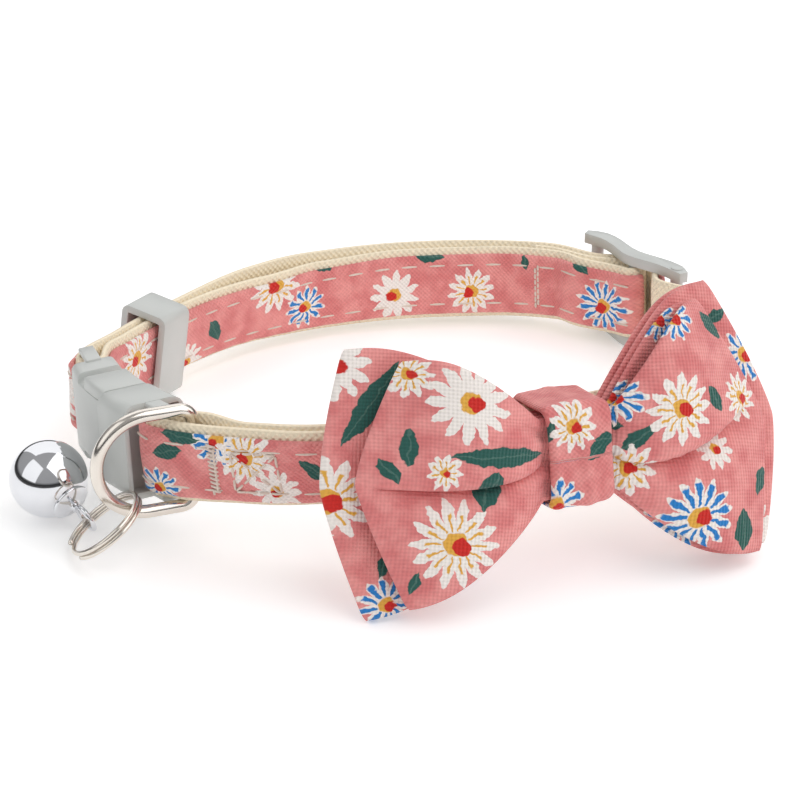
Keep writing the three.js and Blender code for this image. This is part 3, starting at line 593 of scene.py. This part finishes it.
# ---------------------------------------------------------------- materials
class Shader:
    """Small helper that adds and links nodes."""

    def __init__(self, name):
        self.material = bpy.data.materials.new(name)
        self.material.use_nodes = True
        self.tree = self.material.node_tree
        self.bsdf = next(n for n in self.tree.nodes if n.type == "BSDF_PRINCIPLED")

    def node(self, kind, **settings):
        made = self.tree.nodes.new(kind)
        for key, value in settings.items():
            setattr(made, key, value)
        return made

    def put(self, socket, value):
        if isinstance(value, bpy.types.NodeSocket):
            self.tree.links.new(value, socket)
        elif isinstance(value, (tuple, list)) and len(value) == 3 and socket.type == "RGBA":
            socket.default_value = (*value, 1)
        else:
            socket.default_value = value

    def math(self, operation, a, b=0.0, c=0.0):
        made = self.node("ShaderNodeMath", operation=operation)
        for socket, value in zip(made.inputs, (a, b, c)):
            self.put(socket, value)
        return made.outputs[0]

    def mix(self, share, a, b):
        made = self.node("ShaderNodeMix", data_type="RGBA")
        self.put(made.inputs["Factor"], share)
        self.put(made.inputs["A"], a)
        self.put(made.inputs["B"], b)
        return made.outputs["Result"]

    def above(self, value, edge, soft):
        made = self.node("ShaderNodeMapRange", interpolation_type="SMOOTHSTEP")
        self.put(made.inputs[0], value)
        for socket, setting in zip(made.inputs[1:3], (edge - soft, edge + soft)):
            self.put(socket, setting)
        return made.outputs[0]

    def noise(self, vector, scale, detail=2.0):
        made = self.node("ShaderNodeTexNoise")
        self.put(made.inputs["Vector"], vector)
        made.inputs["Scale"].default_value = scale
        made.inputs["Detail"].default_value = detail
        return made.outputs["Fac"]

    def set(self, **values):
        for key, value in values.items():
            self.put(self.bsdf.inputs[key.replace("_", " ")], value)

    def bump(self, height, strength, distance):
        made = self.node("ShaderNodeBump")
        made.inputs["Strength"].default_value = strength
        made.inputs["Distance"].default_value = distance
        self.put(made.inputs["Height"], height)
        self.put(self.bsdf.inputs["Normal"], made.outputs["Normal"])


def rgb(r, g, b):
    """A colour seen on screen, as linear light."""
    return tuple(((c / 255 + 0.055) / 1.055) ** 2.4 if c > 10 else c / 3295 for c in (r, g, b))


PINK = rgb(217, 124, 123)
PINK_PALE = rgb(236, 154, 150)
WHITE = rgb(244, 236, 230)
TEAL = rgb(44, 92, 84)
RED = rgb(206, 44, 38)
YELLOW = rgb(228, 172, 74)
BLUE = rgb(44, 128, 200)
CREAM = rgb(253, 238, 210)
STROKES = {"gold": YELLOW, "blue": BLUE, "white": WHITE}
# how wide a stroke is, as a share of its petal, and how far out it ends, as a share of the radius
STROKE_SHAPES = {"gold": (0.26, 0.66), "blue": (0.42, 0.86), "white": (0.2, 0.6)}


def placed(sh, x, y, cx, cy, turn):
    """Coordinates about a motif's middle, turned by its angle."""
    c, s = math.cos(turn), math.sin(turn)
    dx, dy = sh.math("SUBTRACT", x, cx), sh.math("SUBTRACT", y, cy)
    px = sh.math("MULTIPLY_ADD", dx, c, sh.math("MULTIPLY", dy, s))
    py = sh.math("MULTIPLY_ADD", dy, c, sh.math("MULTIPLY", dx, -s))
    return px, py


def add_leaf(sh, colour, x, y, row):
    _, cx, cy, length, width, angle = row
    px, py = placed(sh, x, y, cx, cy, math.radians(angle))
    along = sh.math("DIVIDE", px, length / 2)
    edge = sh.math("MULTIPLY", sh.math("SUBTRACT", 1.0, sh.math("MULTIPLY", along, along)), width / 2)
    inside = sh.above(sh.math("SUBTRACT", edge, sh.math("ABSOLUTE", py)), 0.0, 0.07)
    colour = sh.mix(inside, colour, TEAL)
    vein = sh.above(sh.math("SUBTRACT", 0.09, sh.math("ABSOLUTE", py)), 0.0, 0.05)
    return sh.mix(sh.math("MULTIPLY", sh.math("MULTIPLY", inside, vein), 0.35), colour, rgb(110, 142, 130))


def add_flower(sh, colour, x, y, row):
    _, cx, cy, radius, petals, angle, strokes = row
    px, py = placed(sh, x, y, cx, cy, math.radians(angle))
    reach = sh.math("SQRT", sh.math("MULTIPLY_ADD", px, px, sh.math("MULTIPLY", py, py)))
    around = sh.math("MULTIPLY", sh.math("ARCTAN2", py, px), petals / (2 * math.pi))
    spread = sh.math("MULTIPLY", sh.math("ABSOLUTE", sh.math("SUBTRACT", sh.math("FRACT", around), 0.5)), 2.0)
    lobe = sh.math("POWER", spread, 1.6)
    edge = sh.math("MULTIPLY_ADD", lobe, -0.46 * radius, radius)
    petal = sh.above(sh.math("SUBTRACT", edge, reach), 0.0, 0.08)
    colour = sh.mix(petal, colour, WHITE)
    width, tip = STROKE_SHAPES[strokes]
    narrow = sh.above(sh.math("SUBTRACT", width, spread), 0.0, 0.1)
    ring = sh.math("MULTIPLY", sh.above(reach, radius * 0.3, 0.1),
                   sh.above(sh.math("SUBTRACT", radius * tip, reach), 0.0, 0.1))
    colour = sh.mix(sh.math("MULTIPLY", narrow, ring), colour, STROKES[strokes])
    heart = sh.above(sh.math("SUBTRACT", radius * 0.27, reach), 0.0, 0.08)
    colour = sh.mix(heart, colour, YELLOW)
    off = sh.math("SQRT", sh.math("ADD", sh.math("POWER", sh.math("SUBTRACT", px, radius * 0.1), 2.0),
                                  sh.math("POWER", sh.math("ADD", py, radius * 0.08), 2.0)))
    red = sh.above(sh.math("SUBTRACT", radius * 0.2, off), 0.0, 0.08)
    return sh.mix(red, colour, RED)


def weave_height(sh, x, y, pitch, slant=0.0):
    c, s = math.cos(slant), math.sin(slant)
    u = sh.math("MULTIPLY", sh.math("MULTIPLY_ADD", x, c, sh.math("MULTIPLY", y, s)), math.pi / pitch)
    v = sh.math("MULTIPLY", sh.math("MULTIPLY_ADD", y, c, sh.math("MULTIPLY", x, -s)), math.pi / pitch)
    return sh.math("MULTIPLY", sh.math("SINE", u), sh.math("SINE", v))


def printed_cotton(name, leaves, flowers, slant=0.0, repeats=False):
    sh = Shader(name)
    split = sh.node("ShaderNodeSeparateXYZ")
    cloth = sh.node("ShaderNodeUVMap", uv_map="cloth")
    wander = sh.node("ShaderNodeTexNoise")
    wander.inputs["Scale"].default_value = 0.9
    wander.inputs["Detail"].default_value = 3.0
    sh.put(wander.inputs["Vector"], cloth.outputs[0])
    moved = sh.node("ShaderNodeVectorMath", operation="MULTIPLY_ADD")
    sh.put(moved.inputs[0], wander.outputs["Color"])
    moved.inputs[1].default_value = (1.0, 1.0, 0.0)
    offset = sh.node("ShaderNodeVectorMath", operation="SUBTRACT")
    sh.put(offset.inputs[0], cloth.outputs[0])
    offset.inputs[1].default_value = (0.5, 0.5, 0.0)
    sh.put(moved.inputs[2], offset.outputs[0])
    sh.put(split.inputs[0], moved.outputs[0])
    x, y = split.outputs[0], split.outputs[1]
    colour = sh.mix(sh.above(sh.noise(cloth.outputs[0], 0.3, 4.0), 0.5, 0.16), PINK, PINK_PALE)
    tables = [(x, leaves, flowers)]
    if repeats:
        before_end = sh.math("SUBTRACT", 1.0, sh.above(x, REPEAT_TO, 0.01))
        within = sh.math("MULTIPLY", sh.above(x, REPEAT_FROM, 0.01), before_end)
        away = sh.math("MULTIPLY", sh.math("SUBTRACT", 1.0, within), 1000.0)
        tables.append((sh.math("ADD", sh.math("MODULO", x, REPEAT), away), REPEAT_LEAVES, REPEAT_FLOWERS))
    for place, leaf_rows, flower_rows in tables:
        for row in leaf_rows:
            colour = add_leaf(sh, colour, place, y, row)
        for row in flower_rows:
            colour = add_flower(sh, colour, place, y, row)
    plain = sh.node("ShaderNodeSeparateXYZ")
    sh.put(plain.inputs[0], cloth.outputs[0])
    weave = weave_height(sh, plain.outputs[0], plain.outputs[1], 0.3, slant)
    slub = sh.noise(cloth.outputs[0], 2.2, 4.0)
    tone = sh.math("MULTIPLY_ADD", weave, 0.07, sh.math("MULTIPLY_ADD", slub, 0.16, 0.9))
    shade = sh.node("ShaderNodeVectorMath", operation="SCALE")
    sh.put(shade.inputs[0], colour)
    sh.put(shade.inputs["Scale"], tone)
    sh.set(Base_Color=shade.outputs[0], Roughness=0.88)
    sh.bsdf.inputs["Sheen Weight"].default_value = 0.18
    sh.bsdf.inputs["Sheen Roughness"].default_value = 0.5
    sh.bsdf.inputs["Specular IOR Level"].default_value = 0.25
    sh.bump(sh.math("MULTIPLY_ADD", slub, 0.5, weave), 0.55, 0.00012)
    return sh.material


def webbing_material():
    sh = Shader("cream webbing")
    cloth = sh.node("ShaderNodeUVMap", uv_map="cloth")
    split = sh.node("ShaderNodeSeparateXYZ")
    sh.put(split.inputs[0], cloth.outputs[0])
    x, y = split.outputs[0], split.outputs[1]
    weave = weave_height(sh, x, y, 0.42)
    slub = sh.noise(cloth.outputs[0], 1.4, 3.0)
    tone = sh.math("MULTIPLY_ADD", weave, 0.05, sh.math("MULTIPLY_ADD", slub, 0.14, 0.9))
    shade = sh.node("ShaderNodeVectorMath", operation="SCALE")
    shade.inputs[0].default_value = CREAM
    sh.put(shade.inputs["Scale"], tone)
    sh.set(Base_Color=shade.outputs[0], Roughness=0.9)
    sh.bsdf.inputs["Sheen Weight"].default_value = 0.15
    sh.bsdf.inputs["Specular IOR Level"].default_value = 0.2
    sh.bump(weave, 0.6, 0.00018)
    return sh.material


def thread_material():
    sh = Shader("thread")
    where = sh.node("ShaderNodeTexCoord")
    fleck = sh.noise(where.outputs["Object"], 900.0, 2.0)
    sh.set(Base_Color=sh.mix(fleck, rgb(204, 186, 174), rgb(232, 218, 206)), Roughness=0.7)
    return sh.material


def plastic_material():
    sh = Shader("grey plastic")
    where = sh.node("ShaderNodeTexCoord")
    cloud = sh.noise(where.outputs["Object"], 160.0, 3.0)
    grain = sh.noise(where.outputs["Object"], 2400.0, 2.0)
    sh.set(Base_Color=sh.mix(cloud, rgb(190, 193, 190), rgb(202, 204, 201)), Roughness=0.42)
    sh.bsdf.inputs["Subsurface Weight"].default_value = 0.05
    sh.bsdf.inputs["Subsurface Radius"].default_value = (0.001, 0.001, 0.001)
    sh.bump(grain, 0.12, 0.0001)
    return sh.material


def metal_material(name, low, high, rough):
    sh = Shader(name)
    where = sh.node("ShaderNodeTexCoord")
    haze = sh.noise(where.outputs["Object"], 420.0, 3.0)
    roughness = sh.math("MULTIPLY_ADD", haze, 0.06, rough)
    sh.set(Base_Color=sh.mix(haze, low, high), Metallic=1.0, Roughness=roughness)
    return sh.material


def bell_shell_material():
    """Chrome, with the sounding slot opposite the hanging loop painted near-black as painted shade of the
    hollow inside, since the slot is not cut.
    """
    aim, _, through, across = bell_frame()
    sh = Shader("bell shell")
    where = sh.node("ShaderNodeTexCoord")
    haze = sh.noise(where.outputs["Object"], 420.0, 3.0)
    middle = sh.node("ShaderNodeVectorMath", operation="SUBTRACT")
    sh.put(middle.inputs[0], where.outputs["Object"])
    middle.inputs[1].default_value = (BELL_CENTRE + SHIFT) * MM

    def along(axis):
        made = sh.node("ShaderNodeVectorMath", operation="DOT_PRODUCT")
        sh.put(made.inputs[0], middle.outputs[0])
        made.inputs[1].default_value = axis
        return made.outputs["Value"]

    # painted shade: the sounding slot is not cut into the shell, and this mask marks where it would open
    wide = sh.math("SUBTRACT", SLOT_HALF_LENGTH * MM, sh.math("ABSOLUTE", along(through)))
    tall = sh.math("SUBTRACT", SLOT_HALF_WIDTH * MM, sh.math("ABSOLUTE", along(across)))
    slot = sh.above(sh.math("MINIMUM", wide, tall), 0.0, 0.00004)
    slot = sh.math("MULTIPLY", slot, sh.math("LESS_THAN", along(aim), 0.0))
    chrome_tone = sh.mix(haze, rgb(216, 217, 221), rgb(226, 227, 230))
    # painted shade: a near-black, non-metal colour in place of the shade inside the hollow bell
    slot_shade = (0.012, 0.012, 0.012)
    sh.set(Base_Color=sh.mix(slot, chrome_tone, slot_shade), Metallic=sh.math("SUBTRACT", 1.0, slot),
           Roughness=sh.math("MULTIPLY_ADD", slot, 0.6, 0.07))
    return sh.material


def floor_material():
    sh = Shader("studio floor")
    where = sh.node("ShaderNodeTexCoord")
    cloud = sh.noise(where.outputs["Object"], 6.0, 2.0)
    sh.set(Base_Color=sh.mix(cloud, (0.93, 0.93, 0.93), (0.95, 0.95, 0.95)), Roughness=0.6)
    sh.bsdf.inputs["Specular IOR Level"].default_value = 0.2
    sh.bsdf.inputs["Emission Color"].default_value = (1, 1, 1, 1)
    sh.bsdf.inputs["Emission Strength"].default_value = 0.26
    return sh.material


# ---------------------------------------------------------------- the print
# leaves: name, x, y, length, width, angle. flowers: name, x, y, radius, petals, turn, strokes.
# x and y are millimetres on the cloth: along and across a bow layer or the strap, across and round the knot.
BOW_FRONT_LEAVES = [
    ("left, long in the crease", -10.2, 1.5, 11.6, 2.3, -5),
    ("left, upper of a pair", -19.8, 3.4, 4.2, 2.0, 78),
    ("left, lower of a pair", -22.2, 1.2, 3.4, 1.8, 122),
    ("left, under the crease", -11.7, -2.2, 4.8, 3.2, 62), ("left edge, foot", -20.9, -11.6, 2.6, 1.2, 60),
    ("right, top", 19.6, 11.6, 4.6, 2.2, -52), ("right, middle", 16.6, 3.4, 3.4, 1.8, 105),
    ("right, near knot", 6.7, 1.0, 4.0, 1.7, 38), ("right, outer low", 18.3, -12.2, 4.8, 2.9, 85),
    ("right edge", 22.4, -7.2, 3.8, 1.8, 60), ("right, inner", 4.4, 3.0, 2.6, 1.2, -20),
]
BOW_FRONT_FLOWERS = [
    ("left, upper", -12.8, 7.7, 4.6, 13, 20, "white"), ("left, lower", -16.2, -7.8, 5.0, 14, 5, "gold"),
    ("left, top edge", -18.4, 11.4, 2.7, 11, 40, "gold"),
    ("left crease, small", -16.6, 0.4, 2.0, 9, 10, "gold"),
    ("right, near knot, blue", 5.1, 5.8, 3.0, 11, 12, "blue"),
    ("right, middle", 11.6, 3.4, 4.1, 12, 8, "gold"), ("right, top, blue", 13.4, 13.4, 2.8, 11, 0, "blue"),
    ("right, low, blue", 12.5, -9.4, 4.4, 13, 15, "blue"),
    ("right, small", 16.4, -2.6, 2.3, 10, 4, "white"),
    ("right, by the knot", 5.6, -2.6, 3.1, 11, 30, "gold"), ("right edge", 21.3, 2.7, 2.9, 11, 20, "gold"),
]
BOW_BACK_LEAVES = [
    ("left, long", -22.2, 8.8, 11.6, 2.7, 46), ("left, low", -23.5, -9.4, 2.8, 1.3, 70),
    ("right, outer", 25.6, 0.6, 4.6, 2.1, 100), ("right, top", 23.2, 12.6, 3.2, 1.5, 20),
    ("behind, left", -15.5, -1.5, 4.4, 2.0, 30), ("behind, right", 8.6, -2.6, 4.0, 1.8, 140),
    ("behind, right low", 17.5, -4.0, 4.2, 2.0, 60),
]
BOW_BACK_FLOWERS = [
    ("left, outer", -28.5, -1.2, 5.0, 12, 10, "gold"), ("left, foot", -23.7, -13.7, 3.2, 11, 10, "blue"),
    ("left, top corner", -25.4, 13.6, 4.0, 11, 15, "white"),
    ("right, outer", 26.0, 7.4, 3.4, 11, 8, "blue"), ("right, foot", 23.0, -12.8, 3.0, 10, 0, "white"),
    ("behind, left", -11.0, 4.6, 4.0, 12, 6, "gold"), ("behind, left low", -14.0, -8.4, 3.8, 12, 2, "blue"),
    ("behind, right", 12.4, 5.4, 4.2, 12, 9, "white"),
    ("behind, right low", 14.6, -9.6, 3.6, 11, 4, "gold"),
]
# once round the knot band's outline, where a motif at its start shows again
KNOT_ROUND = 37.98
KNOT_LEAVES = [
    ("middle", 1.9, 0.7, 3.4, 1.8, 40), ("middle, over the seam", 1.9, 0.7 + KNOT_ROUND, 3.4, 1.8, 40),
    ("middle, second lobe", 2.9, 1.6, 2.8, 1.5, -8), ("edge", -3.6, 3.4, 2.6, 0.9, 75),
]
KNOT_FLOWERS = [
    ("upper", -0.9, 3.6, 2.9, 11, 12, "gold"), ("lower left", -3.3, KNOT_ROUND - 5.0, 3.2, 11, 0, "blue"),
]
STRAP_LEAVES = [
    ("inside", 83.6, -0.2, 4.0, 2.0, 60), ("inside", 65.1, 4.6, 3.2, 1.4, 0),
    ("inside", 49.6, 4.2, 4.6, 1.5, 4), ("inside", 35.6, 3.2, 2.2, 1.1, 80),
    ("inside", 27.1, 4.2, 3.0, 1.3, 30), ("inside", 92.0, 2.0, 3.6, 1.6, 40),
    ("front", 331.6, 3.9, 5.2, 1.9, 6), ("front", 333.4, 1.7, 4.0, 1.9, -12),
    ("front", 316.0, 0.6, 4.0, 1.8, 50), ("sewn end", 351.5, 2.2, 4.4, 1.8, 20),
    ("sewn end", 363.0, -2.6, 3.6, 1.6, 70),
]
STRAP_FLOWERS = [
    ("inside", 73.4, 4.0, 4.2, 12, 0, "gold"), ("inside", 68.1, -0.6, 3.2, 11, 9, "blue"),
    ("inside", 54.6, -1.0, 3.6, 11, 14, "white"), ("inside", 43.6, -1.0, 3.4, 12, 5, "gold"),
    ("inside", 23.3, -0.7, 3.9, 13, 0, "blue"), ("inside", 88.6, -3.6, 3.0, 11, 3, "white"),
    ("front", 327.2, 3.7, 3.4, 12, 0, "blue"), ("front", 323.8, 2.0, 3.8, 12, 8, "gold"),
    ("front", 334.9, -3.2, 2.6, 11, 0, "blue"), ("front", 320.6, -2.4, 3.0, 11, 4, "white"),
    ("sewn end", 345.0, -1.4, 3.6, 12, 0, "gold"), ("sewn end", 358.5, 1.6, 3.6, 12, 5, "blue"),
    ("sewn end", 367.5, -2.6, 3.2, 11, 2, "white"),
]
# the rest of the strap repeats one length of the print
REPEAT, REPEAT_FROM, REPEAT_TO = 44.0, 95.0, 313.0
REPEAT_LEAVES = [
    ("a", 6, 1.5, 4.6, 2.1, 20), ("b", 24, -3.0, 3.6, 1.8, 70), ("c", 38, 3.2, 4.6, 1.6, 5),
]
REPEAT_FLOWERS = [
    ("a", 13, 1.5, 3.9, 12, 0, "gold"), ("b", 19, -3.2, 3.2, 11, 20, "blue"),
    ("c", 30, 0.6, 3.7, 12, 10, "white"), ("d", 37, -3.4, 3.2, 11, 30, "gold"),
]


# ---------------------------------------------------------------- assembly
EDGE_WIDTH = 0.25
BOW_BIAS = 0.6


def dress(thing, material, slot, body, *nodes):
    thing.data.materials.clear()
    thing.data.materials.append(material)
    if nodes:
        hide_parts(*nodes)
    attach(thing, body)
    return thing


def hard_piece(node, material):
    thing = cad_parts[node]
    thing.data.materials.clear()
    thing.data.materials.append(material)
    for polygon in thing.data.polygons:
        polygon.use_smooth = True
    weld = thing.modifiers.new("weld", "WELD")
    weld.merge_threshold = 0.00002
    bevel = thing.modifiers.new("edges", "BEVEL")
    bevel.width, bevel.segments, bevel.limit_method = EDGE_WIDTH * MM, 2, "ANGLE"
    bevel.angle_limit = math.radians(35)
    bevel.harden_normals = True
    return thing


webbing = dress(webbing_piece(), webbing_material(), "webbing", "collar", "strap_webbing")
strap_print = printed_cotton("strap print", STRAP_LEAVES, STRAP_FLOWERS, repeats=True)
tape = dress(tape_piece(), strap_print, "printed_cotton", "collar", "strap_cover")
stitches = dress(strap_stitches(), thread_material(), "webbing", "collar")
bow_front = dress(bow_sleeve("bow_front_sleeve", FRONT_LAYER),
                  printed_cotton("front bow print", BOW_FRONT_LEAVES, BOW_FRONT_FLOWERS, BOW_BIAS),
                  "printed_cotton", "collar", "bow_front")
bow_back = dress(bow_sleeve("bow_back_sleeve", BACK_LAYER),
                 printed_cotton("back bow print", BOW_BACK_LEAVES, BOW_BACK_FLOWERS, BOW_BIAS),
                 "printed_cotton", "collar", "bow_back")
knot = dress(knot_piece(), printed_cotton("knot print", KNOT_LEAVES, KNOT_FLOWERS),
             "printed_cotton", "collar", "bow_knot")

plastic = plastic_material()
for node in ("keeper_loop", "slider", "buckle_socket", "buckle_plug"):
    hard_piece(node, plastic)
nickel = metal_material("nickel wire", rgb(214, 206, 196), rgb(232, 226, 218), 0.14)
chrome = metal_material("bell metal", rgb(216, 217, 221), rgb(226, 227, 230), 0.05)
dress(d_ring_piece(), nickel, "nickel_wire", "d_ring", "d_ring")
dress(split_ring_piece(), nickel, "nickel_wire", "d_ring", "split_ring")
shell, flange, tab = bell_pieces()
dress(shell, bell_shell_material(), "bell_metal", "d_ring", "bell")
dress(flange, chrome, "bell_metal", "d_ring")
dress(tab, chrome, "bell_metal", "d_ring")


# ---------------------------------------------------------------- studio
def soft_light(name, place, aim, size, power):
    light = bpy.data.lights.new(name, "AREA")
    light.shape, light.size, light.energy = "SQUARE", size, power
    thing = bpy.data.objects.new(name, light)
    thing.location = place
    thing.rotation_euler = (Vector(aim) - Vector(place)).to_track_quat("-Z", "Y").to_euler()
    bpy.context.scene.collection.objects.link(thing)


bpy.ops.mesh.primitive_plane_add(size=4.0, location=(0, 0.8, 0))
floor = bpy.context.object
floor.name = "floor"
floor.data.materials.append(floor_material())

scene = bpy.context.scene
world = bpy.data.worlds.new("studio")
scene.world = world
world.use_nodes = True
sky = world.node_tree
heading = sky.nodes.new("ShaderNodeTexCoord")
height = sky.nodes.new("ShaderNodeSeparateXYZ")
ramp = sky.nodes.new("ShaderNodeValToRGB")
stops = ramp.color_ramp.elements
stops[0].position, stops[0].color = 0.0, (0.5, 0.5, 0.5, 1)
stops[1].position, stops[1].color = 1.0, (1.0, 1.0, 1.0, 1)
for position, level in ((0.50, 0.25), (0.57, 0.06), (0.63, 0.9)):
    stop = stops.new(position)
    stop.color = (level, level, level * 1.01, 1)
remap = sky.nodes.new("ShaderNodeMapRange")
remap.inputs["From Min"].default_value = -1.0
sky.links.new(heading.outputs["Generated"], height.inputs[0])
sky.links.new(height.outputs[2], remap.inputs[0])
sky.links.new(remap.outputs[0], ramp.inputs[0])
sky.links.new(ramp.outputs[0], sky.nodes["Background"].inputs["Color"])
sky.nodes["Background"].inputs["Strength"].default_value = 0.42
soft_light("key", (0.40, -0.14, 0.45), (0, 0, 0), 0.85, 3.0)
soft_light("fill", (-0.45, -0.30, 0.40), (0, 0, 0.01), 0.6, 0.9)
soft_light("back", (-0.10, 0.50, 0.45), (0, 0, 0), 0.8, 1.7)
scene.view_settings.view_transform = "Standard"
scene.view_settings.look = "None"
scene.view_settings.exposure = 0.0

camera_data = bpy.data.cameras.new("camera")
camera_data.sensor_width, camera_data.lens = 36.0, 117.0
camera_data.dof.use_dof = False
camera = bpy.data.objects.new("camera", camera_data)
camera.location = Vector((SHIFT + np.array([0, -300, 150])) * MM)
camera.rotation_euler = (math.radians(64), 0, 0)
scene.collection.objects.link(camera)
scene.camera = camera
